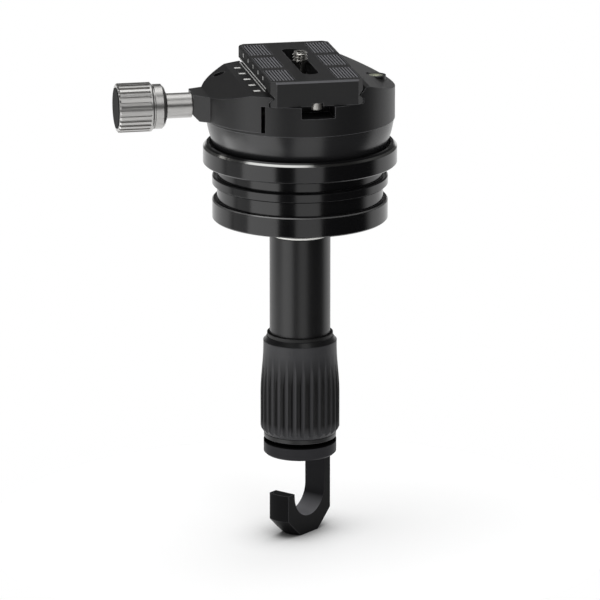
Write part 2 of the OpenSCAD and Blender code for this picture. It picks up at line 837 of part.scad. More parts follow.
// Nylon washer that keeps the camera screw in its slot
module screw_retainer() {
    top_z = plate_z + pocket_d - face_gap;
    color(grey_polymer) ring(head_r - face_gap, screw_neck_r + running_gap, top_z - retainer_t, top_z);
}

// Camera screw with its stud and head
module camera_screw() {
    head_top_z = plate_z + pocket_d - retainer_t - 1.5 * face_gap;
    thread_low_z = plate_top_z + face_gap;
    stud_top_z = plate_top_z + stud_h;
    stud_edge = 0.6;
    color(steel) difference() {
        rotate_extrude() polygon([
            [0, head_top_z - head_h], [head_r, head_top_z - head_h], [head_r, head_top_z],
            [screw_neck_r, head_top_z], [screw_neck_r, thread_low_z], [stud_r, thread_low_z],
            [stud_r, stud_top_z - stud_edge], [stud_r - stud_edge, stud_top_z], [0, stud_top_z]
        ]);
        translate([0, 0, stud_top_z - socket_d]) cylinder(r = socket_r, h = socket_d + cut, $fn = 6);
    }
}

// Dished cup that the stem presses up under the bowl
module pressure_cup() {
    color(satin_black) difference() {
        union() {
            intersection() {
                difference() {
                    ball(cup_back_r);
                    ball(cup_face_r);
                }
                ring(cup_r, 0, ball_centre_z - 2 * cup_back_r, ball_centre_z - bowl_r / 2);
            }
            ring(cup_neck_r, 0, stem_z, ball_centre_z - cup_face_r - cup_t / 2);
            ring(stem_r - stem_wall - seated_gap, 0, stem_z - cup_spigot_h, stem_z + cut);
        }
        ring(rod_r + face_gap, 0, stem_z - cup_spigot_h - cut, ball_centre_z);
    }
}

// Stem tube between the cup and the grip
module stem_tube() {
    bore_r = stem_r - stem_wall;
    color(satin_black) rotate_extrude() polygon([
        [bore_r, stem_end_z], [stem_r, stem_end_z], [stem_r, stem_z - stem_edge],
        [stem_r - stem_edge, stem_z], [bore_r, stem_z]
    ]);
}

// Brass washer that the grip's nut pushes on
module thrust_washer() {
    color(brass) ring(stem_r, rod_r + face_gap, stem_end_z - thrust_t, stem_end_z);
}

// Wiper ring on top of the grip
module grip_lip_ring() {
    color(black_rubber) ring(lip_ring_r, stem_r + running_gap, grip_z, grip_z + lip_ring_h);
}

// Nut inside the grip, with the shoulder at its upper end
module grip_nut() {
    tail_z = sleeve_end_z - face_gap;
    color(black_metal) difference() {
        rotate_extrude() polygon([
            [0, grip_z], [lip_ring_r + face_gap, grip_z], [grip_top_r - face_gap, sleeve_z],
            [core_r, sleeve_z], [core_r, tail_z], [heel_r, tail_z], [heel_r, grip_end_z],
            [0, grip_end_z]
        ]);
        ring(stem_r + running_gap, 0, thread_z, grip_z + cut);
        ring(rod_r + running_gap, 0, grip_end_z - cut, grip_z);
    }
}

// Radius of the grip at a depth below the sleeve's top, swelling smoothly
function swell(depth) =
    let (t = min(1, max(0, (depth - swell_from) / (swell_to - swell_from))))
    grip_top_r + (grip_r - grip_top_r) * t * t * (3 - 2 * t);

// Fluted sleeve, whose flutes fade out where the grip narrows
module grip_sleeve() {
    flank = [for (i = [0 : swell_steps])
        let (depth = swell_from + (swell_to - swell_from) * i / swell_steps)
        [swell(depth), sleeve_z - depth]];
    outline = concat(
        [[core_r + seated_gap, sleeve_z], [grip_top_r, sleeve_z]],
        flank,
        [[grip_r, sleeve_end_z + heel_h], [heel_r + heel_step, sleeve_end_z + heel_h / 4],
         [heel_r, sleeve_end_z], [core_r + seated_gap, sleeve_end_z]]
    );
    color(black_rubber) difference() {
        rotate_extrude() polygon(outline);
        for (i = [0 : grip_flutes - 1])
            rotate([0, 0, (i + 0.5) * 360 / grip_flutes])
                translate([flute_floor_r + flute_tool_r, 0, sleeve_end_z - cut])
                    cylinder(r = flute_tool_r, h = grip_len + cut, $fn = flute_sides);
    }
}

base_ring();
seat_liner();
friction_washer();
half_ball();
rod_washer();
rod_nut();
tension_rod();
seal_ring();
weight_hook();
hook_pin();
clamp_body();
clamp_screws();
spindle_insert();
level_cup();
level_vial();
clamp_jaw();
jaw_guide_pins();
jaw_set_screw();
knob_shaft();
knob_washer();
clamp_knob();
knob_end_cap();
clamp_spindle();
spindle_clip();
quick_release_plate();
plate_stop_screws();
screw_retainer();
camera_screw();
pressure_cup();
stem_tube();
thrust_washer();
grip_lip_ring();
grip_nut();
grip_sleeve();
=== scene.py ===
# %% [markdown]
# # A leveling head in a light studio
# The head holds a camera level on a tripod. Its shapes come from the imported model: every
# solid is already in its place, in metres. This file gives each one the surface of the real
# piece, adds the small things that are printed or cut on it, and lights it as in a plain
# product photograph. Small sizes are written in millimetres, and MM turns them into metres.

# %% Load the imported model
import math

import bmesh
import bpy
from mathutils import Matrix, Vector


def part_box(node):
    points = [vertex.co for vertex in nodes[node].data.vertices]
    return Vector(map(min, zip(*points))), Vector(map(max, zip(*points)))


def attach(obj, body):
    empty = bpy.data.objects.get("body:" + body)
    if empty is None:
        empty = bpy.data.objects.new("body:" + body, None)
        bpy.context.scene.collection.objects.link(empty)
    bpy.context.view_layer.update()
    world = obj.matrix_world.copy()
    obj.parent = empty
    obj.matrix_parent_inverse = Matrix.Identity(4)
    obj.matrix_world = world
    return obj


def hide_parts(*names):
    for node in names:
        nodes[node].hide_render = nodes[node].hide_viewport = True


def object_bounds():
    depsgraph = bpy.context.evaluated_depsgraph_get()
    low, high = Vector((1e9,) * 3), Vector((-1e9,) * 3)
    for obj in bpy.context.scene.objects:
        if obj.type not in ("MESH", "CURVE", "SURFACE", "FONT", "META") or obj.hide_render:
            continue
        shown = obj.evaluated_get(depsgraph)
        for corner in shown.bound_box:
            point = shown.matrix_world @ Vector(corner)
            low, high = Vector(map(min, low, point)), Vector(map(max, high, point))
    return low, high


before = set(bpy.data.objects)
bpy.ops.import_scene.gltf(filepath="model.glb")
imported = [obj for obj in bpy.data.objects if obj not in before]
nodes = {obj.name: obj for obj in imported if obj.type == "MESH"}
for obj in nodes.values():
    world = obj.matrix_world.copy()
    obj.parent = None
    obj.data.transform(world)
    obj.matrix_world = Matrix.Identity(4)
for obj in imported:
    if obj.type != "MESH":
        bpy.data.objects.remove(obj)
cad_low, cad_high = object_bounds()
MM = 0.001
scene = bpy.context.scene
scene.view_settings.view_transform = "Standard"
print("solids:", len(nodes), "height in mm:", round((cad_high[2] - cad_low[2]) / MM, 1))

# %% [markdown]
# ## The camera
# The photograph was taken from slightly above and a little to the left, from far away with a
# long lens, so upright edges stay almost parallel. The distance comes from how much flatter
# the plate's top looks than the rings lower down. One function stands a thing off from its
# target and turns it to look back, because the lights need the same.

# %% Place the camera
VIEW_TURN, VIEW_RISE = -11.2, 15.26
VIEW_DISTANCE = 2.17
SENSOR_MM, LENS_MM = 36.0, 309.2
AIM = Vector((0.0, 0.0, -0.0602))


def stand_off(holder, target, turn_deg, rise_deg, distance):
    turn, rise = math.radians(turn_deg), math.radians(rise_deg)
    way = Vector((math.sin(turn) * math.cos(rise), -math.cos(turn) * math.cos(rise), math.sin(rise)))
    holder.location = target + way * distance
    holder.rotation_euler = (-way).to_track_quat("-Z", "Y").to_euler()
    scene.collection.objects.link(holder)


lens = bpy.data.cameras.new("photo_lens")
lens.sensor_width = SENSOR_MM
lens.lens = LENS_MM
camera = bpy.data.objects.new("photo_camera", lens)
stand_off(camera, AIM, VIEW_TURN, VIEW_RISE, VIEW_DISTANCE)
scene.camera = camera
print("camera at", [round(v, 3) for v in camera.location])

# %% [markdown]
# ## Helpers for materials
# A material is a small graph. One function adds a node with its settings and links, and one
# turns the sRGB colours that a picture editor shows into the linear values that light needs.
# A Mix node keeps its numbers and its colours at different sockets, so their places get names.

# %% Node and colour helpers
NUMBER_A, NUMBER_B = 2, 3
COLOUR_A, COLOUR_B, COLOUR_OUT = 6, 7, 2


def srgb(code):
    parts = [int(code[i:i + 2], 16) / 255 for i in (1, 3, 5)]
    return tuple(p / 12.92 if p <= 0.04045 else ((p + 0.055) / 1.055) ** 2.4 for p in parts) + (1.0,)


def put(tree, kind, inputs=None, **settings):
    made = tree.nodes.new(kind)
    for key, value in settings.items():
        setattr(made, key, value)
    for key, value in (inputs or {}).items():
        if isinstance(value, bpy.types.NodeSocket):
            tree.links.new(value, made.inputs[key])
        else:
            made.inputs[key].default_value = value
    return made


def bare_tree(owner):
    owner.use_nodes = True
    owner.node_tree.nodes.clear()
    return owner.node_tree


def new_material(name):
    material = bpy.data.materials.new(name)
    tree = bare_tree(material)
    shader = put(tree, "ShaderNodeBsdfPrincipled")
    put(tree, "ShaderNodeOutputMaterial", {"Surface": shader.outputs[0]})
    return material, tree, shader


print("middle grey in linear light:", round(srgb("#808080")[0], 3))

# %% [markdown]
# ## What all finishes share
# No real surface has one even tone. Soft clouds vary the colour a little, sharp edges get a pale
# line that is a painted highlight, and a fine pattern changes the roughness and lifts the
# surface by up to a tenth of a millimetre. The Bevel node rounds an edge for the light only, so
# the solid stays as it is, and where that rounded normal leaves the true one there is an edge.

# %% Clouds, edges and texture
EDGE_STARTS, EDGE_FULL = 0.985, 0.82
EDGE_SAMPLES = 6
BUMP_MM = 0.1


def clouded(tree, place, cloud_mm, detail, dark, light):
    cloud = put(tree, "ShaderNodeTexNoise",
                {"Vector": place, "Scale": 1 / (cloud_mm * MM), "Detail": detail}).outputs[0]
    tone = put(tree, "ShaderNodeMix", {"Factor": cloud, COLOUR_A: srgb(dark), COLOUR_B: srgb(light)},
               data_type="RGBA")
    return cloud, tone.outputs[COLOUR_OUT]


# Painted highlight: a pale line of the given tint along every sharp edge, up to the given share.
def highlit_edges(tree, tone, edge_mm, most, highlight_tint):
    rounded = put(tree, "ShaderNodeBevel", {"Radius": edge_mm * MM}, samples=EDGE_SAMPLES).outputs[0]
    true_normal = put(tree, "ShaderNodeNewGeometry").outputs["True Normal"]
    turn = put(tree, "ShaderNodeVectorMath", {0: rounded, 1: true_normal}, operation="DOT_PRODUCT")
    highlight_share = put(tree, "ShaderNodeMapRange", {"Value": turn.outputs["Value"], "From Min": EDGE_STARTS,
                                            "From Max": EDGE_FULL, "To Max": most})
    paint = put(tree, "ShaderNodeMix", {"Factor": highlight_share.outputs[0], COLOUR_A: tone, COLOUR_B: srgb(highlight_tint)},
                data_type="RGBA")
    return paint.outputs[COLOUR_OUT], rounded


def dress(tree, shader, paint, normal, rough, bump):
    rough_pattern, roughness, spread = rough
    bump_pattern, strength = bump
    tree.links.new(paint, shader.inputs["Base Color"])
    varied = put(tree, "ShaderNodeMapRange",
                 {"Value": rough_pattern, "To Min": roughness - spread, "To Max": roughness + spread})
    tree.links.new(varied.outputs[0], shader.inputs["Roughness"])
    lifted = put(tree, "ShaderNodeBump", {"Height": bump_pattern, "Strength": strength,
                                          "Distance": BUMP_MM * MM, "Normal": normal})
    tree.links.new(lifted.outputs[0], shader.inputs["Normal"])


print("edges pale where the normal turns by", round(math.degrees(math.acos(EDGE_STARTS))), "degrees or more")

# %% [markdown]
# ## Black anodised aluminium, bead blasted
# The plate, the clamp, its jaw and the hook are milled, blasted with fine beads and dyed black.
# The blasting leaves a soft grain, so they shine softly, and sharp edges get a pale line that
# is a painted highlight. The grain is about 0.1 mm on the real metal and is drawn at 0.7 mm here,
# because finer grain would vanish at this distance. The dye takes unevenly in clouds about 14
# mm wide.

# %% Blasted black
BEAD_GRAIN_MM, BLASTED_CLOUD_MM = 0.7, 14.3
BEAD_SPREAD, BEAD_STRENGTH = 0.05, 0.12


def blasted_black(name, dark, light, roughness, edge_mm, edge, shine):
    material, tree, shader = new_material(name)
    shader.inputs["Specular IOR Level"].default_value = shine
    place = put(tree, "ShaderNodeTexCoord").outputs["Object"]
    _, tone = clouded(tree, place, BLASTED_CLOUD_MM, 3.0, dark, light)
    # Painted highlight along the sharp edges.
    paint, rounded = highlit_edges(tree, tone, edge_mm, edge, "#5a5a5c")
    grain = put(tree, "ShaderNodeTexNoise",
                {"Vector": place, "Scale": 1 / (BEAD_GRAIN_MM * MM), "Detail": 2.0}).outputs[0]
    dress(tree, shader, paint, rounded, rough=(grain, roughness, BEAD_SPREAD), bump=(grain, BEAD_STRENGTH))
    return material


plate_black = blasted_black("blasted_anodised_plate", "#111112", "#171718", roughness=0.42,
                            edge_mm=0.4, edge=0.8, shine=0.4)
clamp_black = blasted_black("blasted_anodised_clamp", "#111112", "#161617", roughness=0.4,
                            edge_mm=0.45, edge=0.9, shine=0.35)
jaw_black = blasted_black("blasted_anodised_jaw", "#111112", "#161617", roughness=0.4,
                          edge_mm=0.45, edge=0.9, shine=0.45)
hook_black = blasted_black("blasted_anodised_hook", "#0e0e0f", "#141415", roughness=0.3,
                           edge_mm=0.5, edge=0.8, shine=0.05)
print("blasted:", plate_black.name, clamp_black.name, jaw_black.name, hook_black.name)

# %% [markdown]
# ## Metal turned on a lathe
# The base, the dome, the stem and the knob were turned, and so were the steel and brass parts.
# The tool leaves very fine rings round the axis, which stretch every reflection into a band
# along it. The lines are about 0.05 mm apart on the real metal and drawn at 0.45 mm, so that
# they show. They are a noise that reads only the distance from the axis and the place along
# it, so the knob, which lies off the Z axis, gives its own axis and centre. The small steel and
# brass parts off that axis keep it, because they are too small for their lines to show. The
# tone varies in clouds about 18 mm wide. The plate's stop screws are a paler and duller steel
# than the rest.

# %% Turned finishes
TURNED_LINE_MM, TURNED_CLOUD_MM, TURNED_EDGE_MM = 0.45, 18.2, 0.2
LINE_SPREAD = 0.04


def turned(name, dark, light, roughness, highlight_tint="#6a6a6c", metallic=0.0, axis="Z", centre=(0.0, 0.0, 0.0),
           depth=0.06, edge=0.4):
    material, tree, shader = new_material(name)
    shader.inputs["Metallic"].default_value = metallic
    place = put(tree, "ShaderNodeTexCoord").outputs["Object"]
    from_centre = put(tree, "ShaderNodeVectorMath", {0: place, 1: centre}, operation="SUBTRACT")
    split = put(tree, "ShaderNodeSeparateXYZ", {0: from_centre.outputs[0]}).outputs
    first, second = [split[k] for k in "XYZ" if k != axis]
    across = put(tree, "ShaderNodeCombineXYZ", {"X": first, "Y": second})
    radius = put(tree, "ShaderNodeVectorMath", {0: across.outputs[0]}, operation="LENGTH")
    section = put(tree, "ShaderNodeCombineXYZ", {"X": radius.outputs["Value"], "Y": split[axis]})
    lines = put(tree, "ShaderNodeTexNoise", {"Vector": section.outputs[0], "Scale": 1 / (TURNED_LINE_MM * MM),
                                             "Detail": 2.0}, noise_dimensions="2D").outputs[0]
    _, tone = clouded(tree, place, TURNED_CLOUD_MM, 2.0, dark, light)
    # Painted highlight along the sharp edges, in the given tint.
    paint, rounded = highlit_edges(tree, tone, TURNED_EDGE_MM, edge, highlight_tint)
    dress(tree, shader, paint, rounded, rough=(lines, roughness, LINE_SPREAD), bump=(lines, depth))
    return material


ring_black = turned("turned_anodised_base", "#060607", "#0a0a0b", 0.16, depth=0.03, edge=0.25)
dome_black = turned("turned_anodised_dome", "#161617", "#1c1c1d", 0.24)
stem_black = turned("turned_anodised_stem", "#0e0e0f", "#131314", 0.34)
knob_low, knob_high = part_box("clamp_knob")
knob_silver = turned("turned_silver_aluminium", "#b7b6b4", "#c4c3c1", 0.32, "#d0cfcd", metallic=1.0, axis="X",
                     centre=(knob_low + knob_high) / 2, depth=0.12)
plain_steel = turned("turned_stainless_steel", "#b9b7b2", "#c6c4bf", 0.26, "#dddbd6", metallic=1.0)
bright_steel = turned("satin_stainless_steel", "#d4d2cd", "#dedcd7", 0.5, "#e4e2de", metallic=1.0)
turned_brass = turned("turned_brass", "#b08a45", "#bd9850", 0.3, "#d6bb7c", metallic=1.0)
print("turned:", ring_black.name, dome_black.name, stem_black.name, knob_silver.name, turned_brass.name)

# %% [markdown]
# ## Zones on a finish
# A finish isn't the same all over a piece: some edges are cut bare and some faces are rubbed.
# The solids stay whole, so each zone is picked out by its place in millimetres. One function
# gives the parts of a place: its coordinates, its distance from the Z axis and its angle round
# it. One makes a zone from the limits of some of these parts, and one lays another colour,
# roughness and, where wanted, share of bare metal over the zone. A limit that doesn't matter is
# set far outside the piece.

# %% Zone helpers
FAR = 100.0


def parts_of_place(tree):
    whole = put(tree, "ShaderNodeTexCoord").outputs["Object"]
    split = put(tree, "ShaderNodeSeparateXYZ", {0: whole}).outputs
    flat = put(tree, "ShaderNodeCombineXYZ", {"X": split["X"], "Y": split["Y"]})
    reach = put(tree, "ShaderNodeVectorMath", {0: flat.outputs[0]}, operation="LENGTH")
    around = put(tree, "ShaderNodeMath", {0: split["Y"], 1: split["X"]}, operation="ARCTAN2")
    return {"whole": whole, "X": split["X"], "Y": split["Y"], "Z": split["Z"],
            "reach": reach.outputs["Value"], "around": around.outputs[0]}


def zone_where(tree, *limits):
    zone = 1.0
    for value, low_mm, high_mm in limits:
        for bound_mm, side in ((low_mm, "GREATER_THAN"), (high_mm, "LESS_THAN")):
            inside = put(tree, "ShaderNodeMath", {0: value, 1: bound_mm * MM}, operation=side).outputs[0]
            zone = put(tree, "ShaderNodeMath", {0: zone, 1: inside}, operation="MULTIPLY").outputs[0]
    return zone


def lay_zone(material, zone, colour, roughness, metallic=None):
    tree = material.node_tree
    shader = next(n for n in tree.nodes if n.type == "BSDF_PRINCIPLED")
    base = shader.inputs["Base Color"].links[0].from_socket
    paint = put(tree, "ShaderNodeMix", {"Factor": zone, COLOUR_A: base, COLOUR_B: srgb(colour)},
                data_type="RGBA")
    tree.links.new(paint.outputs[COLOUR_OUT], shader.inputs["Base Color"])
    for label, value in (("Roughness", roughness), ("Metallic", metallic)):
        if value is not None:
            socket = shader.inputs[label]
            before = socket.links[0].from_socket if socket.is_linked else socket.default_value
            eased = put(tree, "ShaderNodeMix", {"Factor": zone, NUMBER_A: before, NUMBER_B: value})
            tree.links.new(eased.outputs[0], socket)
    print("zone on", material.name, "in", colour)


# %% [markdown]
# ## Edges of the base
# After the dye, a cutter takes a narrow line off the flange's upper chamfer, so bare metal
# shows there. The edge of the lower ring gets a paler, partly metallic band that is a painted
# highlight. The limits are counted from the top and the outer radius of the flange and of the ring.

# %% Bright-cut edge and painted highlight on the base
SHOULDER, LOW_RING_H = 3.8, 8.5
CUT_LOW, CUT_HIGH, CUT_IN, CUT_OUT = -1.45, -0.65, -1.7, 0.1
HIGHLIGHT_LOW, HIGHLIGHT_HIGH, HIGHLIGHT_IN, HIGHLIGHT_OUT = -0.55, 0.05, -0.6, -0.05
base_low, base_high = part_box("base_ring")
flange_top, flange_r = base_high[2] / MM, base_high[0] / MM
ring_top, ring_r = base_low[2] / MM + LOW_RING_H, flange_r - SHOULDER
tree = ring_black.node_tree
place = parts_of_place(tree)
cut_line = zone_where(tree, (place["Z"], flange_top + CUT_LOW, flange_top + CUT_HIGH),
                      (place["reach"], flange_r + CUT_IN, flange_r + CUT_OUT))
lay_zone(ring_black, cut_line, "#aaaaa8", 0.15, metallic=1.0)
# Painted highlight: a paler, partly metallic band along the lower ring's edge.
low_ring_highlight = zone_where(tree, (place["Z"], ring_top + HIGHLIGHT_LOW, ring_top + HIGHLIGHT_HIGH),
                      (place["reach"], ring_r + HIGHLIGHT_IN, ring_r + HIGHLIGHT_OUT))
lay_zone(ring_black, low_ring_highlight, "#747474", 0.2, metallic=0.6)

# %% [markdown]
# ## Ridges, sides and ends of the plate
# The ridges between the milled lines, in three rows of two blocks, get a paler top that is a
# painted highlight, and so does the upper edge of each end. The long sides lie in the clamp and
# get painted shade: a darker colour, with a duller surface. The rows repeat, so the place along
# the plate is wrapped at their pitch and one pair of limits serves all three.

# %% Painted highlights and shade on the plate
ROW_PITCH, ROW_HALF = 24.33, 9.67
RIDGES_FROM, RIDGES_TO, RIDGE_DEPTH = 8.5, 18.5, 0.06
SIDE_FROM = 19.3
RIM_DEPTH, RIM_H = 0.3, 0.9
plate_low, plate_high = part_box("quick_release_plate")
plate_top, plate_end = plate_high[2] / MM, plate_high[1] / MM
tree = plate_black.node_tree
place = parts_of_place(tree)
half_wrap = ROW_PITCH * MM / 2
wrapped = put(tree, "ShaderNodeMath", {0: place["Y"], 1: half_wrap, 2: -half_wrap}, operation="WRAP")
from_row, from_middle, from_centre = [
    put(tree, "ShaderNodeMath", {0: value}, operation="ABSOLUTE").outputs[0]
    for value in (wrapped.outputs[0], place["X"], place["Y"])
]
# Painted highlight: the ridge tops in each block get a paler colour.
plate_ridge_highlight = zone_where(tree, (from_middle, RIDGES_FROM, RIDGES_TO), (from_row, -FAR, ROW_HALF),
                    (place["Z"], plate_top - RIDGE_DEPTH, FAR))
lay_zone(plate_black, plate_ridge_highlight, "#646468", 0.4)
# Painted shade: the long sides get a darker colour and a duller surface.
lay_zone(plate_black, zone_where(tree, (from_middle, SIDE_FROM, FAR)), "#060607", 0.75)
# Painted highlight: a paler band along the upper edge of each end.
end_rim_highlight = zone_where(tree, (from_centre, plate_end - RIM_DEPTH, FAR), (place["Z"], plate_top - RIM_H, FAR))
lay_zone(plate_black, end_rim_highlight, "#505053", 0.4)

# %% [markdown]
# ## Bend and collar of the hook
# The inside of the hook gets a paler colour that is a painted highlight, strongest at the lowest
# part of its bend. The collar is painted paler than the hook as sheen, and its upper edge, in the
# gap below the grip, is painted black as shade. The hook stands askew to the axes, so its bend is
# measured along its own direction and from the bend's centre.

# %% Painted highlight and shade on the hook
HOOK_TURN = math.radians(41.5)
BEND_R, BEND_RISE, BEND_SKIN, WALL_DEPTH = 10.3, 18.2, 0.12, 1.0
BEND_HIGHLIGHT_STARTS, BEND_HIGHLIGHT_FULL = -4.0, -9.5
COLLAR_H, COLLAR_GAP = 5.9, 0.7
hook_low, hook_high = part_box("weight_hook")
collar_top = hook_high[2] / MM
tree = hook_black.node_tree
place = parts_of_place(tree)
hook_way = (math.cos(HOOK_TURN), math.sin(HOOK_TURN), 0.0)
across = put(tree, "ShaderNodeVectorMath", {0: place["whole"], 1: hook_way},
             operation="DOT_PRODUCT").outputs["Value"]
rise = put(tree, "ShaderNodeMath", {0: place["Z"], 1: hook_low[2] + BEND_RISE * MM},
           operation="SUBTRACT").outputs[0]
from_bend = put(tree, "ShaderNodeCombineXYZ", {"X": across, "Z": rise})
bend_reach = put(tree, "ShaderNodeVectorMath", {0: from_bend.outputs[0]}, operation="LENGTH").outputs["Value"]
bend = zone_where(tree, (bend_reach, -FAR, BEND_R + BEND_SKIN))
wall = zone_where(tree, (across, BEND_R - WALL_DEPTH, BEND_R + BEND_SKIN), (rise, 0.0, FAR))
# Painted highlight: the inside of the hook gets a paler colour.
inner_highlight = put(tree, "ShaderNodeMath", {0: bend, 1: wall}, operation="MAXIMUM")
lay_zone(hook_black, inner_highlight.outputs[0], "#1e1e20", 0.4)
# Painted highlight: paler still at the lowest part of the bend.
low_part = put(tree, "ShaderNodeMapRange",
               {"Value": rise, "From Min": BEND_HIGHLIGHT_STARTS * MM, "From Max": BEND_HIGHLIGHT_FULL * MM})
bend_highlight = put(tree, "ShaderNodeMath", {0: bend, 1: low_part.outputs[0]}, operation="MULTIPLY")
lay_zone(hook_black, bend_highlight.outputs[0], "#707073", 0.4)
# Painted sheen: the collar gets a paler colour than the hook.
lay_zone(hook_black, zone_where(tree, (place["Z"], collar_top - COLLAR_H, FAR)), "#2a2a2c", 0.4)
# Painted shade: the collar's upper edge, in the gap below the grip, gets black.
lay_zone(hook_black, zone_where(tree, (place["Z"], collar_top - COLLAR_GAP, FAR)), "#020202", 0.9)

# %% [markdown]
# ## Rubber and plastic
# The grip is a hard black rubber with a dull skin, moulded with a fine texture. The lip ring,
# the seal and the knob's end disc are smoother. The texture is about 0.2 mm on the real skin
# and drawn at about 0.5 mm, so that it shows, and clouds about 22 mm wide keep it from looking
# too even. A Voronoi pattern gives the small round pits of a moulded skin.

# %% Moulded finishes
MOULDED_CLOUD_MM, MOULDED_EDGE_MM = 22.2, 0.3
SKIN_SPREAD = 0.06


def moulded(name, dark, light, roughness, grain_mm, depth, shine=0.5):
    material, tree, shader = new_material(name)
    shader.inputs["Specular IOR Level"].default_value = shine
    place = put(tree, "ShaderNodeTexCoord").outputs["Object"]
    cloud, tone = clouded(tree, place, MOULDED_CLOUD_MM, 3.0, dark, light)
    skin = put(tree, "ShaderNodeTexVoronoi", {"Vector": place, "Scale": 1 / (grain_mm * MM)})
    rounded = put(tree, "ShaderNodeBevel", {"Radius": MOULDED_EDGE_MM * MM}, samples=EDGE_SAMPLES).outputs[0]
    dress(tree, shader, tone, rounded, rough=(cloud, roughness, SKIN_SPREAD),
          bump=(skin.outputs["Distance"], depth))
    return material


grip_rubber = moulded("moulded_grip_rubber", "#060607", "#0a0a0b", 0.6, grain_mm=0.6, depth=0.15, shine=0.3)
seal_rubber = moulded("moulded_seal_rubber", "#0a0a0a", "#0f0f0f", 0.55, grain_mm=0.5, depth=0.1)
# Painted shade: the seal ring in the gap below the grip is near black with no shine.
shade_black_rubber = moulded("rubber_painted_shade", "#020202", "#040404", 0.85, grain_mm=0.5, depth=0.05, shine=0.0)
cap_plastic = moulded("moulded_cap_plastic", "#1c1c1c", "#242424", 0.6, grain_mm=0.5, depth=0.08, shine=0.04)
liner_plastic = moulded("moulded_bearing_polymer", "#2c2c2c", "#343434", 0.5, grain_mm=0.5, depth=0.05)
print("moulded:", grip_rubber.name, seal_rubber.name, shade_black_rubber.name, cap_plastic.name, liner_plastic.name)

# %% [markdown]
# ## Ridges of the grip
# The ridges of the grip get a paler colour that is a painted highlight, which leaves the flutes
# between them darker as painted shade. Both ends, where the flutes fade out, are painted like the
# ridges. The angle round the grip, times the number of flutes, goes through a cosine, which is
# high in each flute and low on each ridge.

# %% Painted highlight on the grip's ridges
FLUTES = 28
RIDGE_STARTS, RIDGE_FULL = 0.2, -0.8
UPPER_STARTS, UPPER_FULL = -16.0, -4.0
LOWER_STARTS, LOWER_FULL = 6.0, 3.0
grip_low, grip_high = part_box("grip_sleeve")
tree = grip_rubber.node_tree
place = parts_of_place(tree)
phase = put(tree, "ShaderNodeMath", {0: place["around"], 1: FLUTES}, operation="MULTIPLY")
wave = put(tree, "ShaderNodeMath", {0: phase.outputs[0]}, operation="COSINE")
# Painted highlight: paler ridges, with the flutes left darker as shade.
grip_ridge_highlight = put(tree, "ShaderNodeMapRange", {"Value": wave.outputs[0], "From Min": RIDGE_STARTS,
                                            "From Max": RIDGE_FULL}).outputs[0]
for end, starts, full in ((grip_high, UPPER_STARTS, UPPER_FULL), (grip_low, LOWER_STARTS, LOWER_FULL)):
    fade = put(tree, "ShaderNodeMapRange", {"Value": place["Z"], "From Min": end[2] + starts * MM,
                                            "From Max": end[2] + full * MM})
    grip_ridge_highlight = put(tree, "ShaderNodeMath", {0: grip_ridge_highlight, 1: fade.outputs[0]}, operation="MAXIMUM").outputs[0]
lay_zone(grip_rubber, grip_ridge_highlight, "#303032", 0.45)

# %% [markdown]
# ## The level's vial
# A round vial is acrylic filled with tinted spirit. Light passes through it, so it is a clear
# shader with a weak tint, over the cup's dark floor. Its values are the same all over, so they
# are set on the shader itself.

# %% Clear vial
vial_clear, _, vial_shader = new_material("clear_vial_acrylic")
vial_shader.inputs["Base Color"].default_value = srgb("#e4e8d2")
vial_shader.inputs["Roughness"].default_value = 0.05
vial_shader.inputs["IOR"].default_value = 1.47
vial_shader.inputs["Transmission Weight"].default_value = 0.75
print("vial:", vial_clear.name)

# %% [markdown]
# ## Inks and nylon
# The marks are printed with a thick matt ink, and the same kind of pale ink paints the highlight
# lines along the jaw's and the plate's edges. The ring on the stem is white nylon whose white is a
# painted highlight. All have a fine skin like the moulded pieces, so they use the same function.

# %% White finishes
white_ink = moulded("printed_white_ink", "#c8c8c5", "#d2d2cf", 0.55, grain_mm=0.4, depth=0.05)
# Pale ink: printed ticks, and painted highlight lines along the edges.
pale_print_and_highlight = moulded("pale_print_and_painted_highlight", "#bcbcba", "#c8c8c6", 0.5, grain_mm=0.4, depth=0.05)
# Painted highlight: the white of the ring on the stem.
highlight_nylon = moulded("nylon_painted_highlight", "#e4e4e0", "#ecece8", 0.5, grain_mm=0.4, depth=0.05)
print("whites:", white_ink.name, pale_print_and_highlight.name, highlight_nylon.name)

# %% [markdown]
# ## Give every solid its surface
# Each finish lists the solids that wear it, and a last line tells of any that was forgotten.

# %% Solids and finishes
FINISHES = {
    ring_black: ["base_ring"],
    dome_black: ["half_ball"],
    clamp_black: ["clamp_body", "level_cup"],
    jaw_black: ["clamp_jaw", "jaw_set_screw"],
    plate_black: ["quick_release_plate"],
    stem_black: ["stem_tube", "pressure_cup", "grip_nut"],
    hook_black: ["weight_hook"],
    knob_silver: ["clamp_knob", "knob_shaft"],
    plain_steel: ["camera_screw", "clamp_screws", "tension_rod", "rod_nut", "rod_washer", "hook_pin",
                  "clamp_spindle", "spindle_clip", "jaw_guide_pins"],
    bright_steel: ["plate_stop_screws"],
    turned_brass: ["spindle_insert", "thrust_washer"],
    grip_rubber: ["grip_sleeve"],
    seal_rubber: ["grip_lip_ring", "knob_washer"],
    shade_black_rubber: ["seal_ring"],
    cap_plastic: ["knob_end_cap"],
    liner_plastic: ["seat_liner", "friction_washer", "screw_retainer"],
    vial_clear: ["level_vial"],
}
for finish, names in FINISHES.items():
    for name in names:
        nodes[name].data.materials.clear()
        nodes[name].data.materials.append(finish)
missing = sorted(set(nodes) - {n for names in FINISHES.values() for n in names})
print("solids with no finish:", missing)

# %% [markdown]
# ## Round meshes
# The camera screw and the slip ring are round, so one function makes both: it sets points round
# the Z axis, row by row, and joins each row to the next. A closed shape joins the last row to
# the first, as a ring does, and any other gets a flat face at each end.

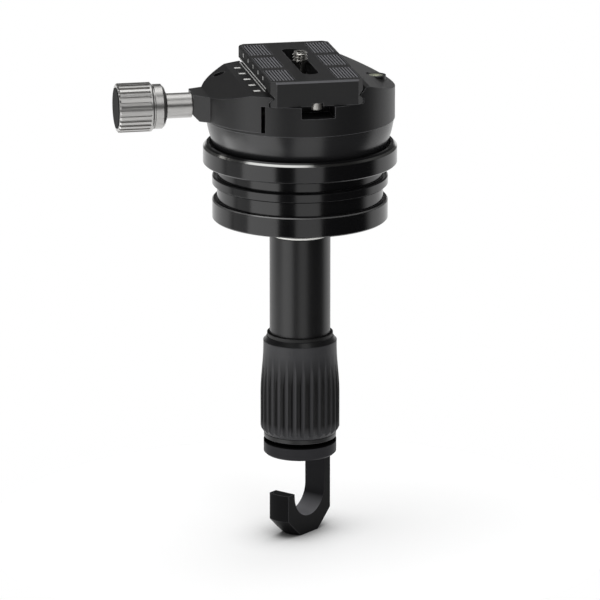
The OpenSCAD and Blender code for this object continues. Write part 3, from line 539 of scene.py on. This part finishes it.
# %% Mesh helpers
def add_object(name, mesh):
    made = bpy.data.objects.new(name, mesh)
    scene.collection.objects.link(made)
    return made


def mesh_from(name, shape):
    mesh = bpy.data.meshes.new(name)
    shape.to_mesh(mesh)
    shape.free()
    print(name, "faces:", len(mesh.polygons))
    return mesh


def round_mesh(name, rows, closed):
    shape = bmesh.new()
    loops = []
    for row in rows:
        step = 2 * math.pi / len(row)
        loops.append([shape.verts.new((r * math.cos(i * step), r * math.sin(i * step), z))
                      for i, (r, z) in enumerate(row)])
    if not closed:
        shape.faces.new(loops[0])
        shape.faces.new(loops[-1])
    following = loops[1:] + (loops[:1] if closed else [])
    for lower, upper in zip(loops, following):
        for i in range(len(lower)):
            shape.faces.new((lower[i - 1], lower[i], upper[i], upper[i - 1]))
    bmesh.ops.recalc_face_normals(shape, faces=shape.faces)
    return mesh_from(name, shape)


# %% [markdown]
# ## The camera screw
# The stud is a rolled 1/4 inch thread, 20 turns to the inch, with a hexagon socket in its
# end. A plain cylinder would show no thread, so the radius of each point follows the thread's
# ridge as it winds up the stud. The ridge fades out at both ends, as a rolled thread does.

# %% Radius of thread and socket
SCREW_SIDES, THREAD_STEPS = 72, 26
PITCH, STUD_R, THREAD_DEPTH = 1.27 * MM, 3.175 * MM, 0.6 * MM
RIDGE_HALF = 0.38
FADE_TOP, FADE_LOW, FADE_LEAST = 0.7 * MM, 0.4 * MM, 0.2
SOCKET_HALF, SOCKET_DEPTH, SOCKET_CORNER = 1.47 * MM, 2.0 * MM, math.radians(60)
THREAD_START = 0.2 * MM
NECK_R = STUD_R - THREAD_DEPTH
screw_low, screw_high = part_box("camera_screw")
stud_top, thread_low = screw_high[2], plate_high[2] + THREAD_START


def thread_radius(angle, z):
    turn = (z / PITCH - angle / (2 * math.pi)) % 1.0
    ridge = max(0.0, 1.0 - abs(turn - 0.5) / RIDGE_HALF)
    fade = min(1.0, (stud_top - z) / FADE_TOP, (z - thread_low) / FADE_LOW + FADE_LEAST)
    return NECK_R + THREAD_DEPTH * ridge * max(0.0, fade)


def socket_radius(angle):
    return SOCKET_HALF / math.cos((angle + SOCKET_CORNER / 2) % SOCKET_CORNER - SOCKET_CORNER / 2)


print("thread in mm:", round(2 * STUD_R / MM, 2), "across,", round((stud_top - thread_low) / MM, 2), "long")

# %% Threaded camera screw
HEAD_H, CHAMFER = 3.0 * MM, 0.3 * MM
head_r = (screw_high[0] - screw_low[0]) / 2
head_low, head_top = screw_low[2], screw_low[2] + HEAD_H
angles = [2 * math.pi * i / SCREW_SIDES for i in range(SCREW_SIDES)]
head_section = [(head_r - CHAMFER, head_low), (head_r, head_low + CHAMFER),
                (head_r, head_top - CHAMFER), (head_r - CHAMFER, head_top), (NECK_R, head_top)]
screw_rows = [[point] * SCREW_SIDES for point in head_section]
for k in range(THREAD_STEPS + 1):
    z = thread_low + (stud_top - thread_low) * k / THREAD_STEPS
    screw_rows.append([(thread_radius(angle, z), z) for angle in angles])
screw_rows.append([(NECK_R - CHAMFER, stud_top)] * SCREW_SIDES)
for z in (stud_top, stud_top - SOCKET_DEPTH):
    screw_rows.append([(socket_radius(angle), z) for angle in angles])
screw_mesh = round_mesh("threaded_camera_screw", screw_rows, closed=False)
screw_mesh.materials.append(plain_steel)
screw_mesh.set_sharp_from_angle(angle=math.radians(35))
threaded_screw = add_object("threaded_camera_screw", screw_mesh)
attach(threaded_screw, "screw")
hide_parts("camera_screw")

# %% [markdown]
# ## Printed marks and painted highlight lines
# Five short white marks are printed along the jaw's flat top, beside the plate, and five small
# ones on the plate's side above them. They repeat at one distance, so a small node tree puts a
# thin tile on each point of a line. One long pale strip along the jaw's edge and one along the
# plate's side are painted highlights on those edges: each is a row of one tile.

# %% Node tree for a row of tiles
def tile_row_tree(name, material):
    tree = bpy.data.node_groups.new(name, "GeometryNodeTree")
    tree.interface.new_socket("Geometry", in_out="INPUT", socket_type="NodeSocketGeometry")
    tree.interface.new_socket("Geometry", in_out="OUTPUT", socket_type="NodeSocketGeometry")
    kinds = {"Count": "NodeSocketInt", "First": "NodeSocketVector", "Step": "NodeSocketVector",
             "Tile": "NodeSocketVector"}
    identifiers = {label: tree.interface.new_socket(label, in_out="INPUT", socket_type=kind).identifier
                   for label, kind in kinds.items()}
    entry = put(tree, "NodeGroupInput").outputs
    line = put(tree, "GeometryNodeMeshLine", {"Count": entry["Count"], "Start Location": entry["First"],
                                              "Offset": entry["Step"]})
    tile_mesh = put(tree, "GeometryNodeMeshCube", {"Size": entry["Tile"]})
    placed = put(tree, "GeometryNodeInstanceOnPoints",
                 {"Points": line.outputs[0], "Instance": tile_mesh.outputs[0]})
    solid = put(tree, "GeometryNodeRealizeInstances", {0: placed.outputs[0]})
    finished = put(tree, "GeometryNodeSetMaterial", {"Geometry": solid.outputs[0], "Material": material})
    put(tree, "NodeGroupOutput", {0: finished.outputs[0]})
    return tree, identifiers


# %% A row of printed tiles
def printed_row(name, start, step, count, tile, material, body):
    tree, identifiers = tile_row_tree(name + "_row", material)
    carrier = add_object(name + "_carrier", bpy.data.meshes.new(name + "_carrier"))
    modifier = carrier.modifiers.new("row", "NODES")
    modifier.node_group = tree
    for label, value in (("Count", count), ("First", start), ("Step", step), ("Tile", tile)):
        modifier[identifiers[label]] = value
    bpy.context.view_layer.update()
    evaluated = carrier.evaluated_get(bpy.context.evaluated_depsgraph_get())
    mesh = bpy.data.meshes.new_from_object(evaluated)
    carrier.modifiers.remove(modifier)
    bpy.data.objects.remove(carrier)
    piece = add_object(name, mesh)
    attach(piece, body)
    print(name, "faces:", len(mesh.polygons))
    return piece


# %% Marks and painted highlight line on the jaw
INK_T, JAW_INK_LIFT = 0.06 * MM, 0.02 * MM
MARKS, MARK_PITCH = 5, 11.0 * MM
MARK_IN, MARK_TILE = 4.15 * MM, (2.8 * MM, 2.2 * MM, INK_T)
LINE_IN, LINE_SHIFT, LINE_TILE = 1.15 * MM, 4.5 * MM, (0.6 * MM, 57.0 * MM, INK_T)
mark_step, first_mark = (0.0, MARK_PITCH, 0.0), -MARK_PITCH * (MARKS - 1) / 2
jaw_edge, _, jaw_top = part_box("clamp_jaw")[1]
mark_start = (jaw_edge - MARK_IN, first_mark, jaw_top + JAW_INK_LIFT)
index_marks = printed_row("jaw_index_marks", mark_start, mark_step, MARKS, MARK_TILE, white_ink, "jaw")
line_start = (jaw_edge - LINE_IN, LINE_SHIFT, jaw_top + JAW_INK_LIFT)
# Painted highlight: a pale strip along the jaw's edge.
jaw_highlight_line = printed_row("jaw_edge_highlight", line_start, mark_step, 1, LINE_TILE, pale_print_and_highlight, "jaw")

# %% Painted highlight line and marks on the plate
PLATE_INK_LIFT = 0.01 * MM
EDGE_SHIFT, EDGE_RISE, EDGE_TILE = 3.0 * MM, 1.7 * MM, (INK_T, 58.0 * MM, 0.6 * MM)
TICK_SHIFT, TICK_DROP, TICK_TILE = 2.0 * MM, 1.9 * MM, (INK_T, 1.2 * MM, 1.6 * MM)
plate_ink_x = plate_low[0] - PLATE_INK_LIFT
edge_start = (plate_ink_x, EDGE_SHIFT, jaw_top + EDGE_RISE)
# Painted highlight: a pale strip along the plate's side.
plate_highlight_line = printed_row("plate_edge_highlight", edge_start, mark_step, 1, EDGE_TILE, pale_print_and_highlight, "plate")
tick_start = (plate_ink_x, first_mark + TICK_SHIFT, plate_high[2] - TICK_DROP)
side_marks = printed_row("plate_side_marks", tick_start, mark_step, MARKS, TICK_TILE, pale_print_and_highlight, "plate")

# %% [markdown]
# ## The level's bubble
# A pale bubble floats under the vial's lens. It is small, but it says what the little disc is.
# A sphere pressed flat is enough, since only its outline shows through the vial.

# %% Bubble
BUBBLE_SHARE, BUBBLE_HALF_H = 0.42, 0.35 * MM
BUBBLE_SHIFT = Vector((0.2, 0.1, -0.6)) * MM
vial_low, vial_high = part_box("level_vial")
vial_middle = Vector(((vial_low[0] + vial_high[0]) / 2, (vial_low[1] + vial_high[1]) / 2, vial_high[2]))
bubble_r = BUBBLE_SHARE * (vial_high[0] - vial_low[0]) / 2
bubble_shape = bmesh.new()
bmesh.ops.create_uvsphere(bubble_shape, u_segments=32, v_segments=16, radius=1.0)
bmesh.ops.scale(bubble_shape, verts=bubble_shape.verts, vec=(bubble_r, bubble_r, BUBBLE_HALF_H))
bmesh.ops.translate(bubble_shape, verts=bubble_shape.verts, vec=vial_middle + BUBBLE_SHIFT)
for face in bubble_shape.faces:
    face.smooth = True
bubble_mesh = mesh_from("level_bubble", bubble_shape)
bubble_pale = moulded("pale_air_bubble", "#c9cdbd", "#d6dac9", 0.12, grain_mm=0.5, depth=0.0)
bubble_mesh.materials.append(bubble_pale)
bubble = add_object("level_bubble", bubble_mesh)
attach(bubble, "head")

# %% [markdown]
# ## The white ring on the stem
# A white nylon ring is set into the top end of the stem, and its white is a painted highlight
# along the stem's top edge. Only a thin crescent of it shows under the base.

# %% White ring as painted highlight
RING_SIDES = 96
RING_IN, RING_LIP, RING_OUT = 11.6 * MM, 12.6 * MM, 12.88 * MM
RING_LOW, RING_SHOULDER, RING_TOP = -0.7 * MM, -0.1 * MM, 0.1 * MM
stem_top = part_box("stem_tube")[1][2]
ring_section = [(RING_IN, RING_LOW), (RING_OUT, RING_LOW), (RING_OUT, RING_SHOULDER), (RING_LIP, RING_TOP),
                (RING_IN, RING_TOP)]
ring_rows = [[(r, stem_top + z)] * RING_SIDES for r, z in ring_section]
# Painted highlight: a white ring along the stem's top edge.
highlight_ring_mesh = round_mesh("stem_highlight_ring", ring_rows, closed=True)
highlight_ring_mesh.materials.append(highlight_nylon)
highlight_ring_mesh.set_sharp_from_angle(angle=math.radians(30))
highlight_ring = add_object("stem_highlight_ring", highlight_ring_mesh)
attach(highlight_ring, "stem")

# %% [markdown]
# ## Floor
# The object stands on a round of white paper. It glows a little where the camera or a
# reflection sees it, so that it melts into the white room, and it darkens close to the hook,
# where the paper is hidden from the light. An Ambient Occlusion node tells how hidden a place
# is, whatever the camera sees.

# %% Floor
FLOOR_R, FLOOR_GAP = 0.135, 0.1 * MM
floor_shape = bmesh.new()
bmesh.ops.create_circle(floor_shape, cap_ends=True, segments=96, radius=FLOOR_R)
bmesh.ops.translate(floor_shape, verts=floor_shape.verts, vec=(0.0, 0.0, cad_low[2] - FLOOR_GAP))
floor_mesh = mesh_from("studio_floor", floor_shape)
floor = add_object("studio_floor", floor_mesh)

# %% Paper of the floor
HIDDEN_REACH = 22.0 * MM
HIDDEN_DARK, HIDDEN_CLEAR = 0.35, 0.95
FLOOR_GLOW = 0.18
floor_white = bpy.data.materials.new("white_floor_paper")
tree = bare_tree(floor_white)
hidden = put(tree, "ShaderNodeAmbientOcclusion", {"Distance": HIDDEN_REACH}, samples=12)
clear = put(tree, "ShaderNodeMapRange", {"Value": hidden.outputs["AO"], "From Min": HIDDEN_DARK,
                                         "From Max": HIDDEN_CLEAR}).outputs[0]
shade = put(tree, "ShaderNodeMix", {"Factor": clear, COLOUR_A: srgb("#707070"), COLOUR_B: srgb("#e6e6e6")},
            data_type="RGBA")
paper = put(tree, "ShaderNodeBsdfDiffuse", {"Color": shade.outputs[COLOUR_OUT]})
strength = put(tree, "ShaderNodeMath", {0: clear, 1: FLOOR_GLOW}, operation="MULTIPLY")
glow = put(tree, "ShaderNodeEmission", {"Color": srgb("#ffffff"), "Strength": strength.outputs[0]})
lifted = put(tree, "ShaderNodeAddShader", {0: paper.outputs[0], 1: glow.outputs[0]})
path = put(tree, "ShaderNodeLightPath").outputs
seen = path["Is Camera Ray"]
for ray in ("Is Glossy Ray", "Is Transmission Ray"):
    seen = put(tree, "ShaderNodeMath", {0: seen, 1: path[ray]}, operation="MAXIMUM").outputs[0]
mixed = put(tree, "ShaderNodeMixShader", {0: seen, 1: paper.outputs[0], 2: lifted.outputs[0]})
put(tree, "ShaderNodeOutputMaterial", {"Surface": mixed.outputs[0]})
floor_mesh.materials.append(floor_white)
print("paper:", floor_white.name)

# %% [markdown]
# ## Room
# The camera sees a white room. Reflections see white only low down behind the object and a dim
# room elsewhere, which keeps the black pieces black and gives them bright outer edges.

# %% Room
BACK_STARTS, BACK_FULL = 0.05, 0.35
LOW_ENDS, LOW_FULL, LOW_LEAST = 0.12, 0.02, 0.07
DIM_ROOM, SOFT_LIGHT = 0.02, 0.8
world = bpy.data.worlds.new("studio_room")
scene.world = world
tree = bare_tree(world)
way = put(tree, "ShaderNodeTexCoord").outputs["Generated"]
ahead = (-math.sin(math.radians(VIEW_TURN)), math.cos(math.radians(VIEW_TURN)), 0.0)
depth = put(tree, "ShaderNodeVectorMath", {0: way, 1: ahead}, operation="DOT_PRODUCT")
behind = put(tree, "ShaderNodeMapRange", {"Value": depth.outputs["Value"], "From Min": BACK_STARTS,
                                          "From Max": BACK_FULL}, interpolation_type="SMOOTHSTEP")
height = put(tree, "ShaderNodeSeparateXYZ", {0: way}).outputs["Z"]
low = put(tree, "ShaderNodeMapRange", {"Value": height, "From Min": LOW_ENDS, "From Max": LOW_FULL,
                                       "To Min": LOW_LEAST}, interpolation_type="SMOOTHSTEP")
back_wall = put(tree, "ShaderNodeMath", {0: behind.outputs[0], 1: low.outputs[0]}, operation="MULTIPLY")
mirrored = put(tree, "ShaderNodeMapRange", {"Value": back_wall.outputs[0], "To Min": DIM_ROOM})
path = put(tree, "ShaderNodeLightPath").outputs
level = put(tree, "ShaderNodeMix", {"Factor": path["Is Glossy Ray"], NUMBER_A: SOFT_LIGHT,
                                    NUMBER_B: mirrored.outputs[0]}).outputs[0]
for ray in ("Is Camera Ray", "Is Transmission Ray"):
    level = put(tree, "ShaderNodeMath", {0: level, 1: path[ray]}, operation="MAXIMUM").outputs[0]
room = put(tree, "ShaderNodeBackground", {"Color": srgb("#ffffff"), "Strength": level})
put(tree, "ShaderNodeOutputWorld", {"Surface": room.outputs[0]})
print("room:", world.name)

# %% [markdown]
# ## Light boxes
# Upright faces mirror what lies a little below the horizon, so the boxes that draw pale bands
# on the turned rings stand low: a wide one and two small ones to the left, and a tall strip
# beside the camera. One high in front lights the knob, one overhead brightens the cut edge of
# the flange, and one behind gives the upper faces a rim. Each box has its turn from the camera
# and its rise in degrees, its distance, width and height in metres, and its brightness, where
# 1 is white.

# %% Light boxes
LIT_PLACE = Vector((0.0, 0.0, -0.03))
LIGHT_BOXES = {
    "left_box": (-50, -20, 1.3, 1.0, 1.4, 1.8),
    "left_low_box": (-97, -40, 1.0, 0.7, 0.6, 1.9),
    "left_fill": (-84, -13, 1.2, 0.5, 0.4, 0.55),
    "camera_strip": (11, -28, 2.6, 1.55, 2.5, 1.05),
    "high_front_box": (22, 44, 2.6, 1.0, 1.7, 1.25),
    "top_box": (-68, 73.5, 1.3, 0.8, 0.95, 1.8),
    "back_box": (160, 67, 1.3, 0.6, 1.0, 1.3),
}
for name, (turn_deg, rise_deg, distance, width, height, radiance) in LIGHT_BOXES.items():
    lamp = bpy.data.lights.new(name, "AREA")
    lamp.shape = "RECTANGLE"
    lamp.size = width
    lamp.size_y = height
    lamp.energy = radiance * math.pi * width * height
    stand_off(bpy.data.objects.new(name, lamp), LIT_PLACE, VIEW_TURN + turn_deg, rise_deg, distance)
    print(name, "watts:", round(lamp.energy, 1))
